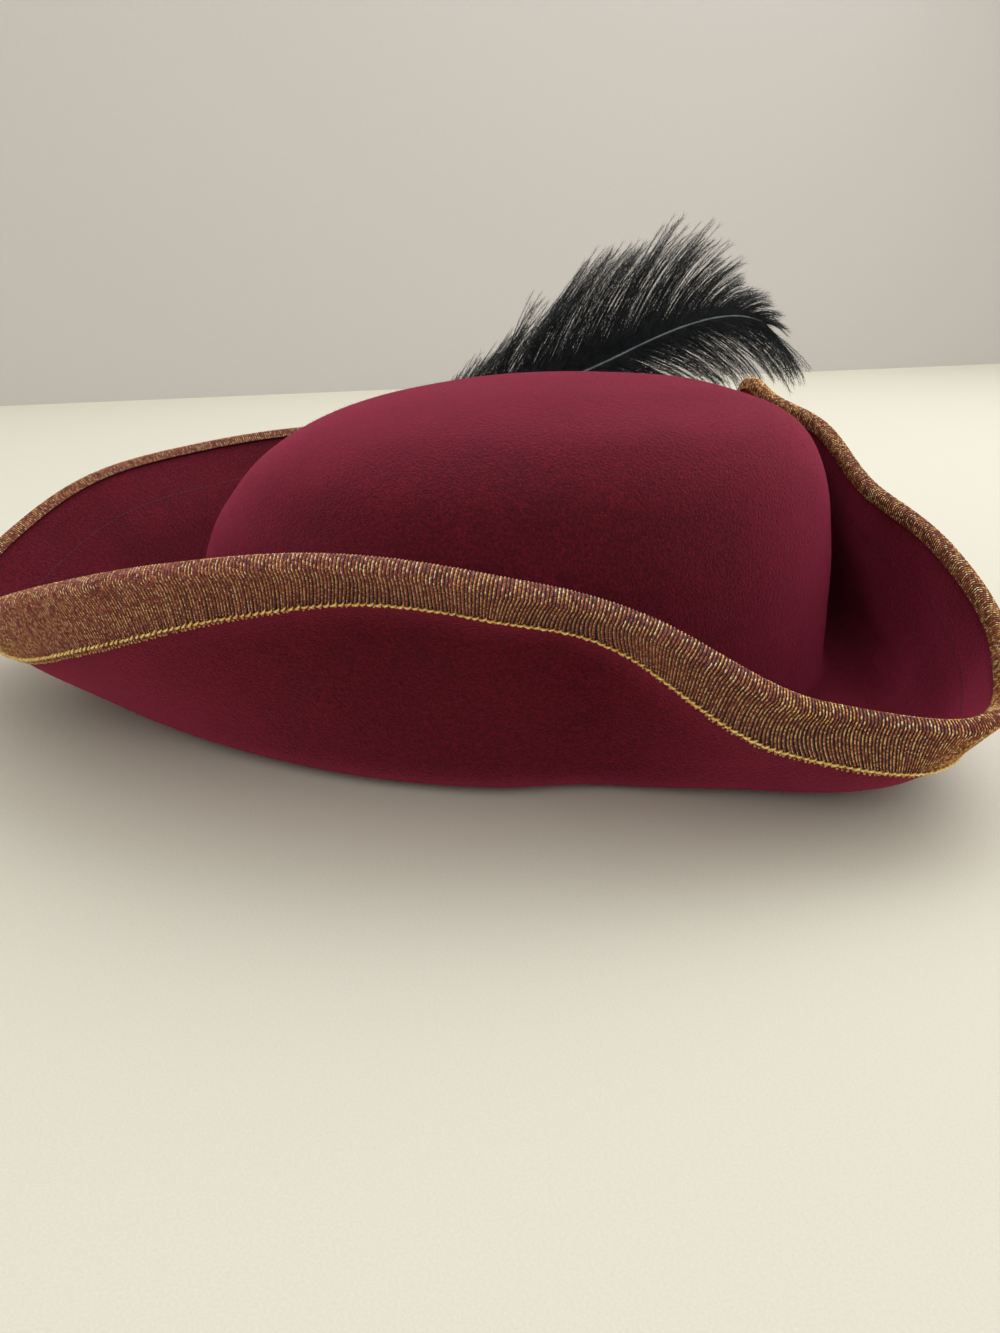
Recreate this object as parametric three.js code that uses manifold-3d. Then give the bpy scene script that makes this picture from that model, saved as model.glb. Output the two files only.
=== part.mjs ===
// A tricorne hat of blocked wool felt: a rounded crown, a brim turned up on three sides into three
// corners, a folded knit binding round the brim's edge, and an ostrich plume beside the crown.
// Millimetres, +Z up. The hat stands on z = 0. The front corner points along -Y and the wearer's
// left is +X. Angles round the hat run from the front corner towards the wearer's left.
import * as THREE from "three";
import Module from "manifold-3d";

const wasm = await Module();
wasm.setup();

// Felt body
const HEAD_LENGTH = 204; // head opening, front to back, inside the felt
const HEAD_WIDTH = 168; // head opening, side to side, inside the felt
const FELT = 2.2; // thickness of the felt
const CROWN_HEIGHT = 89; // from the brim break to the top of the crown, on the felt's middle
const BREAK_RADIUS = 5; // how tightly the crown wall turns out into the brim
const BACK_LIFT = 5; // how far the brim break rises off the table at the back
const BRIM_WIDTH = 92; // along the felt, from the crown wall to the cut edge
const CURL_WIDTH = 12; // the part of the brim that curls away from its wall, below the lip
const LIP_MARGIN = 2; // felt left straight between that curl and the binding

// Binding
const BINDING_OUTSIDE = 20; // width on the outer face of the turned-up brim
const BINDING_INSIDE = 3; // width on the face towards the crown
const BINDING = 0.9; // thickness of the knit
const GAP = 0.3; // clearance between pieces that touch

// Plume
const PLUME_LENGTH = 180; // along the shaft
const SHAFT_RADIUS = 1.5; // at the quill
const SHAFT_TIP_RADIUS = 0.6;
const QUILL_ANGLE = 298; // where the quill's end lies on the crown wall
const QUILL_HEIGHT = 45;
const BARB_LENGTH = 64; // longest locks of barbs
const LOCK_WIDTH = 12;
const LOCK_THICKNESS = 1.4;
const LOCK_BEND = 16; // degrees that a lock curves over, from its root to its tip
const LOCKS_A_SIDE = 17;

// Felt tab that holds the quill against the crown
const TAB_LENGTH = 26; // across the quill
const TAB_WIDTH = 10; // along the quill
const TAB_THICKNESS = 1.5;
const TAB_INSET = 2; // from the quill's end

const STATIONS = 70; // sections round the hat
const CORNER_BUNCHING = 0.08; // draws the sections towards the three corners

const HALF_LENGTH = (HEAD_LENGTH + FELT) / 2;
const HALF_WIDTH = (HEAD_WIDTH + FELT) / 2;
const BREAK_ARC = (BREAK_RADIUS * Math.PI) / 2;
const LIP_WIDTH = BINDING_OUTSIDE + LIP_MARGIN;

// Crown rings from the brim break to the top: rise is a share of CROWN_HEIGHT, front and back are
// shares of the half length, side is a share of the half width.
const CROWN_RINGS = [
  { rise: 0, front: 1, back: 1, side: 1 },
  { rise: 0.18, front: 1, back: 1, side: 1 },
  { rise: 0.36, front: 0.98, back: 1, side: 0.985 },
  { rise: 0.5, front: 0.94, back: 0.985, side: 0.96 },
  { rise: 0.61, front: 0.88, back: 0.97, side: 0.92 },
  { rise: 0.72, front: 0.8, back: 0.94, side: 0.865 },
  { rise: 0.81, front: 0.685, back: 0.895, side: 0.78 },
  { rise: 0.88, front: 0.54, back: 0.82, side: 0.675 },
  { rise: 0.94, front: 0.35, back: 0.68, side: 0.5 },
  { rise: 0.98, front: 0.1, back: 0.51, side: 0.32 },
  { rise: 1, front: -0.2, back: 0.2, side: 0 },
];

// Brim sections by angle in degrees: width is a share of BRIM_WIDTH and lift of BACK_LIFT; floor
// and fold are the shares of the stretch between the brim break and the curl that lie flat and
// that bend up; wall and lip are the slopes in degrees below and above the curl.
const BRIM_SECTIONS = [
  { angle: 0, width: 0.94, lift: 0, floor: 0.16, fold: 0.6, wall: 27, lip: 40 },
  { angle: 15, width: 0.9, lift: 0, floor: 0.08, fold: 0.55, wall: 35, lip: 48 },
  { angle: 30, width: 0.93, lift: 0, floor: 0.04, fold: 0.42, wall: 52, lip: 52 },
  { angle: 45, width: 0.987, lift: 0, floor: 0.03, fold: 0.34, wall: 72, lip: 43 },
  { angle: 60, width: 1.04, lift: 0, floor: 0.04, fold: 0.32, wall: 83, lip: 37 },
  { angle: 75, width: 1.035, lift: 0, floor: 0.07, fold: 0.32, wall: 83, lip: 35 },
  { angle: 90, width: 0.955, lift: 0, floor: 0.08, fold: 0.36, wall: 79, lip: 30 },
  { angle: 105, width: 0.87, lift: 0, floor: 0.3, fold: 0.5, wall: 45, lip: 45 },
  { angle: 118, width: 0.985, lift: 0, floor: 0.47, fold: 0.5, wall: 28, lip: 50 },
  { angle: 132, width: 0.91, lift: 0, floor: 0.51, fold: 0.45, wall: 36, lip: 66 },
  { angle: 145, width: 0.88, lift: 0, floor: 0.32, fold: 0.46, wall: 71, lip: 88 },
  { angle: 160, width: 0.89, lift: 0.2, floor: 0.14, fold: 0.44, wall: 104, lip: 98 },
  { angle: 180, width: 1, lift: 0.7, floor: 0.04, fold: 0.36, wall: 110, lip: 97 },
  { angle: 195, width: 1.04, lift: 1, floor: 0.03, fold: 0.36, wall: 110, lip: 95 },
  { angle: 210, width: 1.07, lift: 0.9, floor: 0.05, fold: 0.36, wall: 94, lip: 84 },
  { angle: 222, width: 0.98, lift: 0.4, floor: 0.28, fold: 0.4, wall: 71, lip: 74 },
  { angle: 235, width: 1.02, lift: 0, floor: 0.48, fold: 0.42, wall: 41, lip: 68 },
  { angle: 250, width: 0.99, lift: 0, floor: 0.42, fold: 0.46, wall: 38, lip: 60 },
  { angle: 270, width: 0.9, lift: 0, floor: 0.12, fold: 0.36, wall: 54, lip: 50 },
  { angle: 285, width: 0.93, lift: 0, floor: 0.04, fold: 0.32, wall: 70, lip: 49 },
  { angle: 300, width: 0.94, lift: 0, floor: 0.03, fold: 0.32, wall: 73, lip: 49 },
  { angle: 320, width: 0.95, lift: 0, floor: 0.03, fold: 0.36, wall: 66, lip: 46 },
  { angle: 335, width: 0.96, lift: 0, floor: 0.04, fold: 0.42, wall: 58, lip: 43 },
  { angle: 348, width: 0.94, lift: 0, floor: 0.08, fold: 0.5, wall: 41, lip: 42 },
];

// The plume by share of its shaft: slope and heading are the shaft's, in degrees up from level and
// away from the crown; over and under are the lengths of the locks above and below it as shares of
// BARB_LENGTH, with their slopes.
const PLUME_SECTIONS = [
  { along: 0, slope: 30, heading: 14, over: 0.5, overSlope: 58, under: 0.14, underSlope: 16 },
  { along: 0.12, slope: 29, heading: 12, over: 0.66, overSlope: 59, under: 0.28, underSlope: 10 },
  { along: 0.22, slope: 28, heading: 10, over: 0.78, overSlope: 60, under: 0.42, underSlope: 4 },
  { along: 0.35, slope: 26, heading: 7, over: 0.97, overSlope: 59, under: 0.56, underSlope: -4 },
  { along: 0.5, slope: 20, heading: 4, over: 1, overSlope: 59, under: 0.66, underSlope: -14 },
  { along: 0.65, slope: 24, heading: 3, over: 0.95, overSlope: 59, under: 0.7, underSlope: -24 },
  { along: 0.78, slope: 19, heading: 2, over: 0.67, overSlope: 55, under: 0.71, underSlope: -32 },
  { along: 0.86, slope: 11, heading: 1, over: 0.42, overSlope: 50, under: 0.71, underSlope: -36 },
  { along: 0.93, slope: -2, heading: 1, over: 0.26, overSlope: 30, under: 0.66, underSlope: -42 },
  { along: 1, slope: -26, heading: 0, over: 0.2, overSlope: -16, under: 0.52, underSlope: -48 },
];

const radians = (degrees) => (degrees * Math.PI) / 180;

// The value of one column at x, on a smooth curve through the rows. key is the column that places
// the rows, and a period makes the curve closed.
function smooth(rows, key, column, x, period = 0) {
  const n = rows.length;
  const row = (i) => rows[period ? (i + n) % n : Math.min(Math.max(i, 0), n - 1)];
  const place = (i) => row(i)[key] + (period ? period * Math.floor(i / n) : 0);
  const slope = (i) => (row(i + 1)[column] - row(i - 1)[column]) / (place(i + 1) - place(i - 1));
  const lastStart = period ? n - 1 : n - 2;
  let i = 0;
  while (i < lastStart && place(i + 1) <= x) i++;
  const run = place(i + 1) - place(i);
  const t = (x - place(i)) / run;
  const [t2, t3] = [t ** 2, t ** 3];
  return (
    (2 * t3 - 3 * t2 + 1) * row(i)[column] +
    (t3 - 2 * t2 + t) * run * slope(i) +
    (3 * t2 - 2 * t3) * row(i + 1)[column] +
    (t3 - t2) * run * slope(i + 1)
  );
}

// The brim section at an angle, with its width and lift as lengths.
function brimSection(angle) {
  const turned = ((angle % 360) + 360) % 360;
  const at = (column) => smooth(BRIM_SECTIONS, "angle", column, turned, 360);
  const [wall, lip] = [at("wall"), at("lip")];
  const width = at("width") * BRIM_WIDTH;
  const standing = width - BREAK_ARC - CURL_WIDTH - LIP_WIDTH;
  const floor = standing * Math.max(at("floor"), 0.02);
  const fold = standing * at("fold");
  const lift = BACK_LIFT * Math.max(at("lift"), 0);
  return { width, lift, floor, fold, straight: standing - floor - fold, wall, lip };
}

// A point on the middle of the crown's felt. rise runs from 0 at the brim break to 1 at the top.
function crownMiddle(angle, rise) {
  const [s, c] = [Math.sin(radians(angle)), Math.cos(radians(angle))];
  const radius = 1 / Math.hypot(s / HALF_WIDTH, c / HALF_LENGTH);
  const at = (column) => smooth(CROWN_RINGS, "rise", column, rise);
  const shift = (HALF_LENGTH * (at("back") - at("front"))) / 2;
  const half = (at("back") + at("front")) / 2;
  const lift = brimSection(angle).lift * (1 - rise);
  return new THREE.Vector3(
    radius * s * at("side"),
    shift - radius * c * half,
    FELT / 2 + BREAK_RADIUS + lift + CROWN_HEIGHT * rise,
  );
}

// Reach and rise of an arc of the given length whose slope turns from one angle to another.
function arcSpan(length, from, to) {
  const [a, b] = [radians(from), radians(to)];
  if (Math.abs(b - a) < 1e-6) return [length * Math.cos(a), length * Math.sin(a)];
  const radius = length / (b - a);
  return [radius * (Math.sin(b) - Math.sin(a)), radius * (Math.cos(a) - Math.cos(b))];
}

// A point on the middle of the brim's felt, at a distance along the felt from the crown wall.
function brimMiddle(angle, along) {
  const { floor, fold, straight, wall, lip } = brimSection(angle);
  const arcs = [
    [BREAK_ARC, -90, 0],
    [floor, 0, 0],
    [fold, 0, wall],
    [straight, wall, wall],
    [CURL_WIDTH, wall, lip],
    [LIP_WIDTH, lip, lip],
  ];
  const point = crownMiddle(angle, 0);
  const out = new THREE.Vector3(Math.sin(radians(angle)), -Math.cos(radians(angle)), 0);
  let left = along;
  arcs.forEach(([length, from, to], i) => {
    const used = i === arcs.length - 1 ? left : Math.min(left, length);
    if (used <= 0) return;
    const [reach, rise] = arcSpan(used, from, from + ((to - from) * used) / length);
    point.addScaledVector(out, reach);
    point.z += rise;
    left -= used;
  });
  return point;
}

// The felt's middle as one sheet: place is minus the rise on the crown, and the distance along the
// brim where it is positive.
const feltMiddle = (angle, place) =>
  place < 0 ? crownMiddle(angle, -place) : brimMiddle(angle, place);

// A point off the felt's middle: a positive offset is outside the crown and inside the brim.
function feltPoint(angle, place, offset) {
  const turn = 0.5;
  const step = place < 0 ? 0.001 : 0.05;
  const middle = feltMiddle(angle, place);
  if (place <= -1) return middle.setZ(middle.z + offset);
  const round = feltMiddle(angle + turn, place).sub(feltMiddle(angle - turn, place));
  const down = feltMiddle(angle, place + step).sub(feltMiddle(angle, place - step));
  return middle.addScaledVector(down.cross(round).normalize(), offset);
}

const middleOf = (ring) =>
  ring.reduce((sum, p) => sum.add(p), new THREE.Vector3()).divideScalar(ring.length);
const capped = (rings) => [[middleOf(rings[0])], ...rings, [middleOf(rings[rings.length - 1])]];

// A closed body from rings of points joined in order. looped joins the last ring to the first;
// otherwise the first and last rings are single points.
function skin(rings, looped = false) {
  const position = [];
  const index = [];
  const first = rings.map((ring) => {
    const start = position.length / 3;
    ring.forEach((p) => position.push(p.x, p.y, p.z));
    return start;
  });
  const joins = looped ? rings.length : rings.length - 1;
  for (let r = 0; r < joins; r++) {
    const next = (r + 1) % rings.length;
    const [na, nb] = [rings[r].length, rings[next].length];
    for (let k = 0; k < Math.max(na, nb); k++) {
      const [a0, a1] = [first[r] + (k % na), first[r] + ((k + 1) % na)];
      const [b0, b1] = [first[next] + (k % nb), first[next] + ((k + 1) % nb)];
      if (a0 !== a1) index.push(a0, a1, b0);
      if (b0 !== b1) index.push(a1, b1, b0);
    }
  }
  const geometry = new THREE.BufferGeometry();
  geometry.setAttribute("position", new THREE.Float32BufferAttribute(position, 3));
  geometry.setIndex(index);
  geometry.computeVertexNormals();
  return geometry;
}

// Closed bodies joined into one, with any space shut in between them filled.
function fuse(geometries) {
  const solids = geometries.map((geometry) => {
    const mesh = new wasm.Mesh({
      numProp: 3,
      vertProperties: new Float32Array(geometry.getAttribute("position").array),
      triVerts: new Uint32Array(geometry.getIndex().array),
    });
    return new wasm.Manifold(mesh);
  });
  const shells = wasm.Manifold.union(solids).decompose();
  const mesh = wasm.Manifold.union(shells.filter((shell) => shell.volume() > 0)).getMesh();
  const geometry = new THREE.BufferGeometry();
  geometry.setAttribute("position", new THREE.BufferAttribute(mesh.vertProperties, 3));
  geometry.setIndex(new THREE.BufferAttribute(mesh.triVerts, 1));
  geometry.computeVertexNormals();
  return geometry;
}

// Angles of the sections round the hat, closer together at the three corners.
const stationAngles = Array.from({ length: STATIONS }, (_, k) => {
  const turn = (2 * Math.PI * k) / STATIONS;
  return ((turn - CORNER_BUNCHING * Math.sin(3 * turn)) * 180) / Math.PI;
});
const ringAt = (placeAt, offset) =>
  stationAngles.map((angle) => feltPoint(angle, placeAt(angle), offset));
const fromEdge = (back) => (angle) => brimSection(angle).width - back;

// The binding's rows on the outer face, from its selvedge to the felt's edge.
const boundRows = [1, 0.75, 0.5, 0.25, 0].map((share) => fromEdge(BINDING_OUTSIDE * share));

// Crown and brim are one blocked piece of felt.
function feltBody() {
  const folded = (share) => (angle) => {
    const { floor, fold } = brimSection(angle);
    return BREAK_ARC + floor + share * fold;
  };
  const places = [
    ...CROWN_RINGS.slice(1, -1).reverse().map(({ rise }) => () => -rise),
    ...[0, BREAK_ARC / 2, BREAK_ARC].map((along) => () => along),
    ...[0, 1 / 3, 2 / 3, 1].map(folded),
    ...[LIP_WIDTH + CURL_WIDTH, LIP_WIDTH].map(fromEdge),
    ...boundRows,
  ];
  return skin([
    [feltPoint(0, -1, -FELT / 2)],
    ...places.map((place) => ringAt(place, -FELT / 2)),
    ...places.map((place) => ringAt(place, FELT / 2)).reverse(),
    [feltPoint(0, -1, FELT / 2)],
  ]);
}

// The binding is folded over the felt's edge: a U section carried right round the brim.
function edgeBinding() {
  const inner = FELT / 2 + GAP;
  const outer = inner + BINDING;
  const section = [
    ...boundRows.map((place) => [place, -outer]),
    [fromEdge(-GAP - BINDING * 0.7), -outer * 0.7],
    [fromEdge(-GAP - BINDING), 0],
    [fromEdge(-GAP - BINDING * 0.7), outer * 0.7],
    [fromEdge(0), outer],
    [fromEdge(BINDING_INSIDE), outer],
    [fromEdge(BINDING_INSIDE), inner],
    [fromEdge(-GAP), inner],
    [fromEdge(-GAP), -inner],
    ...[...boundRows].reverse().map((place) => [place, -inner]),
  ];
  return skin(section.map(([place, offset]) => ringAt(place, offset)), true);
}

// The crown wall's outer face beside the plume: its X at a height, and how far back.
function crownSide(y, z) {
  let [low, high] = [0, 1];
  for (let i = 0; i < 30; i++) {
    const rise = (low + high) / 2;
    if (crownMiddle(270, rise).z < z) low = rise;
    else high = rise;
  }
  const at = (column) => smooth(CROWN_RINGS, "rise", column, low);
  const shift = (HALF_LENGTH * (at("back") - at("front"))) / 2;
  const half = (HALF_LENGTH * (at("back") + at("front"))) / 2;
  return -(HALF_WIDTH * at("side") * Math.sqrt(1 - ((y - shift) / half) ** 2) + FELT / 2);
}

const plumeAt = (column, share) => smooth(PLUME_SECTIONS, "along", column, share);

// A direction in the plume's upright plane at a share of its shaft, by its slope.
function plumeDirection(share, slope) {
  const [s, c] = [Math.sin(radians(slope)), Math.cos(radians(slope))];
  const heading = radians(plumeAt("heading", share));
  return new THREE.Vector3(-c * Math.sin(heading), c * Math.cos(heading), s);
}
const plumeFace = (share) => plumeDirection(share, 0).cross(plumeDirection(share, 90));

const quillEnd = crownMiddle(QUILL_ANGLE, 0).setZ(QUILL_HEIGHT);
quillEnd.x = crownSide(quillEnd.y, quillEnd.z) - GAP - SHAFT_RADIUS;

// A point on the middle of the shaft, by share of its length.
function shaftMiddle(share) {
  const steps = 60;
  const point = quillEnd.clone();
  for (let i = 0; i < steps; i++) {
    const here = (share * (i + 0.5)) / steps;
    const step = (PLUME_LENGTH * share) / steps;
    point.addScaledVector(plumeDirection(here, plumeAt("slope", here)), step);
  }
  return point;
}

// One lock of barbs: a thin blade, broadest near the middle, that curves over to a point.
function lock(share, length, slope, lean) {
  const steps = [0, 0.3, 0.7, 1];
  const halfWidths = [0.42, 0.5, 0.36].map((part) => part * LOCK_WIDTH);
  const point = shaftMiddle(share);
  const face = plumeFace(share);
  const rings = halfWidths.map((half, i) => {
    const middle = point.clone().addScaledVector(face, lean * steps[i]);
    const across = plumeDirection(share, slope - LOCK_BEND * steps[i] + 90).multiplyScalar(half);
    const thick = face.clone().multiplyScalar(LOCK_THICKNESS / 2);
    const ahead = slope - (LOCK_BEND * (steps[i] + steps[i + 1])) / 2;
    point.addScaledVector(plumeDirection(share, ahead), length * (steps[i + 1] - steps[i]));
    return [across, thick, across.clone().negate(), thick.clone().negate()].map((p) =>
      p.add(middle),
    );
  });
  return skin([[middleOf(rings[0])], ...rings, [point.addScaledVector(face, lean)]]);
}

// The plume is its shaft with the locks of barbs above and below it, fused together.
function ostrichPlume() {
  const shaftSteps = 14;
  const sides = 6;
  const rings = Array.from({ length: shaftSteps + 1 }, (_, i) => {
    const share = i / shaftSteps;
    const radius = SHAFT_RADIUS + (SHAFT_TIP_RADIUS - SHAFT_RADIUS) * share;
    const up = plumeDirection(share, plumeAt("slope", share) + 90);
    return Array.from({ length: sides }, (_, k) => {
      const turn = (2 * Math.PI * k) / sides;
      return shaftMiddle(share)
        .addScaledVector(up, radius * Math.sin(turn))
        .addScaledVector(plumeFace(share), -radius * Math.cos(turn));
    });
  });
  const locks = [];
  const firstLock = (TAB_INSET + TAB_WIDTH + LOCK_WIDTH / 2) / PLUME_LENGTH;
  for (let i = 0; i < LOCKS_A_SIDE; i++) {
    const share = firstLock + ((1 - firstLock) * i) / (LOCKS_A_SIDE - 1);
    const lean = i % 2 ? 0.8 : -0.8;
    const over = BARB_LENGTH * plumeAt("over", share);
    const under = BARB_LENGTH * plumeAt("under", share);
    locks.push(lock(share, over, plumeAt("overSlope", share), lean));
    locks.push(lock(share, under, plumeAt("underSlope", share), -lean));
  }
  return fuse([skin(capped(rings)), ...locks]);
}

// A plain felt tab on the crown wall, with a hump over the quill that it holds.
function quillTab() {
  const slope = plumeAt("slope", 0);
  const reach = TAB_LENGTH / 2;
  const flank = SHAFT_RADIUS + GAP;
  const across = [-reach, -flank - 4, -flank, 0, flank, flank + 4, reach];
  const along = [TAB_INSET, TAB_INSET + TAB_WIDTH / 2, TAB_INSET + TAB_WIDTH];
  const rings = across.map((side) => {
    const row = (offset) =>
      along.map((distance) => {
        const point = shaftMiddle(distance / PLUME_LENGTH);
        const overQuill = point.x - SHAFT_RADIUS - GAP;
        point.addScaledVector(plumeDirection(0, slope + 90), side);
        const overWall = crownSide(point.y, point.z) - GAP;
        point.x = (Math.abs(side) <= flank ? overQuill : overWall) - offset;
        return point;
      });
    return [...row(0), ...row(TAB_THICKNESS).reverse()];
  });
  return skin(capped(rings));
}

const felt = new THREE.MeshStandardMaterial({ color: 0x6d1226, roughness: 0.95, metalness: 0 });
const knit = new THREE.MeshStandardMaterial({ color: 0x8a6238, roughness: 0.5, metalness: 0.3 });
const feather = new THREE.MeshStandardMaterial({ color: 0x1b1d20, roughness: 0.7, metalness: 0 });
const tabFelt = new THREE.MeshStandardMaterial({ color: 0x5a1022, roughness: 0.95, metalness: 0 });

const hat = new THREE.Group();
function add(name, geometry, material) {
  const mesh = new THREE.Mesh(geometry, material);
  mesh.name = name;
  hat.add(mesh);
}
add("felt_body", feltBody(), felt);
add("edge_binding", edgeBinding(), knit);
add("ostrich_plume", ostrichPlume(), feather);
add("quill_tab", quillTab(), tabFelt);

// The origin is under the middle of the whole hat, plume included.
const middle = new THREE.Box3().setFromObject(hat).getCenter(new THREE.Vector3());
hat.position.set(-middle.x, -middle.y, 0);

export default hat;
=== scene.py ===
"""Looks of a tricorne hat: burgundy wool felt, a gold knit binding folded over the brim's edge, and
a black ostrich plume.

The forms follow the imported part's own sections, drawn finer. Lengths below are in millimetres, and
meshes are in metres. Angles round the hat run from the front corner towards the wearer's left.
"""

import math

import bpy
import numpy as np
from mathutils import Matrix, Vector, noise


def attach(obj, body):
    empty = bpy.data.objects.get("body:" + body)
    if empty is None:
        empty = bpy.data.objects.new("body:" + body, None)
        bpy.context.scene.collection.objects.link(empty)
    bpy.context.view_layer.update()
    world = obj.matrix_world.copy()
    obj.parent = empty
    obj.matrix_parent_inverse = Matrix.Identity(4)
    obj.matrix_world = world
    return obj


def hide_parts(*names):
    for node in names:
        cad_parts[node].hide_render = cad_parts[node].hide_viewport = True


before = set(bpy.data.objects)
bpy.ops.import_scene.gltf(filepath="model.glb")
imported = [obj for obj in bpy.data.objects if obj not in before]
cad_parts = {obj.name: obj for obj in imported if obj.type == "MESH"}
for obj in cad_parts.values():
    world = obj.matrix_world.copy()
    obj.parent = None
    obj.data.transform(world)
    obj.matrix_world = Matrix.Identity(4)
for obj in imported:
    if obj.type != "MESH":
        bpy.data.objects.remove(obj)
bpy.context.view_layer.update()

MM = 0.001
CROWN_MIDDLE = np.array([0.82, 18.83, 0.0])  # the crown's middle in the part's frame

# Sizes, as in the part's source.
HEAD_LENGTH = 204.0
HEAD_WIDTH = 168.0
FELT = 2.2
CROWN_HEIGHT = 89.0
BREAK_RADIUS = 5.0
BACK_LIFT = 5.0
BRIM_WIDTH = 92.0
CURL_WIDTH = 12.0
BINDING_OUTSIDE = 20.0
BINDING_INSIDE = 3.0
BINDING = 0.9
GAP = 0.3
LIP_WIDTH = BINDING_OUTSIDE + 2.0
PLUME_LENGTH = 180.0
SHAFT_RADIUS = 1.5
QUILL_ANGLE = 298.0
QUILL_HEIGHT = 45.0
BARB_LENGTH = 64.0
TAB_LENGTH = 26.0
TAB_WIDTH = 10.0
TAB_THICKNESS = 1.5
TAB_INSET = 2.0

HALF_LENGTH = (HEAD_LENGTH + FELT) / 2
HALF_WIDTH = (HEAD_WIDTH + FELT) / 2
BREAK_ARC = BREAK_RADIUS * math.pi / 2
STATIONS = 360

# Crown rings from the brim break to the top: rise, then front, back and side as shares.
CROWN_RINGS = [
    (0, 0, 1, 1, 1),
    (1, 0.18, 1, 1, 1),
    (2, 0.36, 0.98, 1, 0.985),
    (3, 0.5, 0.94, 0.985, 0.96),
    (4, 0.61, 0.88, 0.97, 0.92),
    (5, 0.72, 0.8, 0.94, 0.865),
    (6, 0.81, 0.685, 0.895, 0.78),
    (7, 0.88, 0.54, 0.82, 0.675),
    (8, 0.94, 0.35, 0.68, 0.5),
    (9, 0.98, 0.1, 0.51, 0.32),
    (10, 1, -0.2, 0.2, 0),
    (11, 0.98, -0.51, -0.1, -0.32),  # over the top, so that the crown closes smoothly
]
CROWN_TOP = 10

# Brim sections: angle, width, lift, floor, fold, wall, lip.
BRIM_SECTIONS = [
    (0, 0.94, 0, 0.16, 0.6, 27, 40),
    (15, 0.9, 0, 0.08, 0.55, 35, 48),
    (30, 0.93, 0, 0.04, 0.42, 52, 52),
    (45, 0.987, 0, 0.03, 0.34, 72, 43),
    (60, 1.04, 0, 0.04, 0.32, 83, 37),
    (75, 1.035, 0, 0.07, 0.32, 83, 35),
    (90, 0.955, 0, 0.08, 0.36, 79, 30),
    (105, 0.87, 0, 0.3, 0.5, 45, 45),
    (118, 0.985, 0, 0.47, 0.5, 28, 50),
    (132, 0.91, 0, 0.51, 0.45, 36, 66),
    (145, 0.88, 0, 0.32, 0.46, 71, 88),
    (160, 0.89, 0.2, 0.14, 0.44, 104, 98),
    (180, 1, 0.7, 0.04, 0.36, 110, 97),
    (195, 1.04, 1, 0.03, 0.36, 110, 95),
    (210, 1.07, 0.9, 0.05, 0.36, 94, 84),
    (222, 0.98, 0.4, 0.28, 0.4, 71, 74),
    (235, 1.02, 0, 0.48, 0.42, 41, 68),
    (250, 0.99, 0, 0.42, 0.46, 38, 60),
    (270, 0.9, 0, 0.12, 0.36, 54, 50),
    (285, 0.93, 0, 0.04, 0.32, 70, 49),
    (300, 0.94, 0, 0.03, 0.32, 73, 49),
    (320, 0.95, 0, 0.03, 0.36, 66, 46),
    (335, 0.96, 0, 0.04, 0.42, 58, 43),
    (348, 0.94, 0, 0.08, 0.5, 41, 42),
]

# Plume: share of the shaft, slope, heading, over, over slope, under, under slope, and the degrees
# that the barbs above the shaft curl over. Near the tip those barbs are a little shorter than the
# part's locks.
PLUME_SECTIONS = [
    (0, 30, 14, 0.5, 58, 0.14, 16, 16),
    (0.12, 29, 12, 0.66, 59, 0.28, 10, 16),
    (0.22, 28, 10, 0.78, 60, 0.42, 4, 16),
    (0.35, 26, 7, 0.97, 59, 0.56, -4, 16),
    (0.5, 20, 4, 1, 59, 0.66, -14, 16),
    (0.65, 24, 3, 0.91, 59, 0.7, -24, 18),
    (0.78, 19, 2, 0.59, 53, 0.71, -32, 26),
    (0.86, 11, 1, 0.37, 46, 0.71, -36, 32),
    (0.93, -2, 1, 0.25, 28, 0.66, -42, 36),
    (1, -26, 0, 0.2, -16, 0.52, -48, 36),
]


# Small helpers.
def smooth(rows, x, period=0.0):
    """The rows' columns at the places x, on smooth curves. The first column places the rows."""
    rows = np.asarray(rows, float)
    x = np.asarray(x, float)
    if period:
        before, after = rows[-2:].copy(), rows[:2].copy()
        before[:, 0] -= period
        after[:, 0] += period
        rows = np.vstack([before, rows, after])
        x = np.mod(x, period)
    slopes = np.empty_like(rows)
    slopes[1:-1] = (rows[2:] - rows[:-2]) / (rows[2:, :1] - rows[:-2, :1])
    slopes[0] = (rows[1] - rows[0]) / (rows[1, 0] - rows[0, 0])
    slopes[-1] = (rows[-1] - rows[-2]) / (rows[-1, 0] - rows[-2, 0])
    i = np.clip(np.searchsorted(rows[:, 0], x, side="right") - 1, 0, len(rows) - 2)
    run = (rows[i + 1, 0] - rows[i, 0])[..., None]
    t = (x - rows[i, 0])[..., None] / run
    value = (
        (2 * t**3 - 3 * t**2 + 1) * rows[i]
        + (t**3 - 2 * t**2 + t) * run * slopes[i]
        + (3 * t**2 - 2 * t**3) * rows[i + 1]
        + (t**3 - t**2) * run * slopes[i + 1]
    )
    return np.moveaxis(value[..., 1:], -1, 0)


def unit(v):
    return v / np.linalg.norm(v, axis=-1, keepdims=True)


def add_object(name, data):
    made = bpy.data.objects.new(name, data)
    bpy.context.scene.collection.objects.link(made)
    return made


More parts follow.
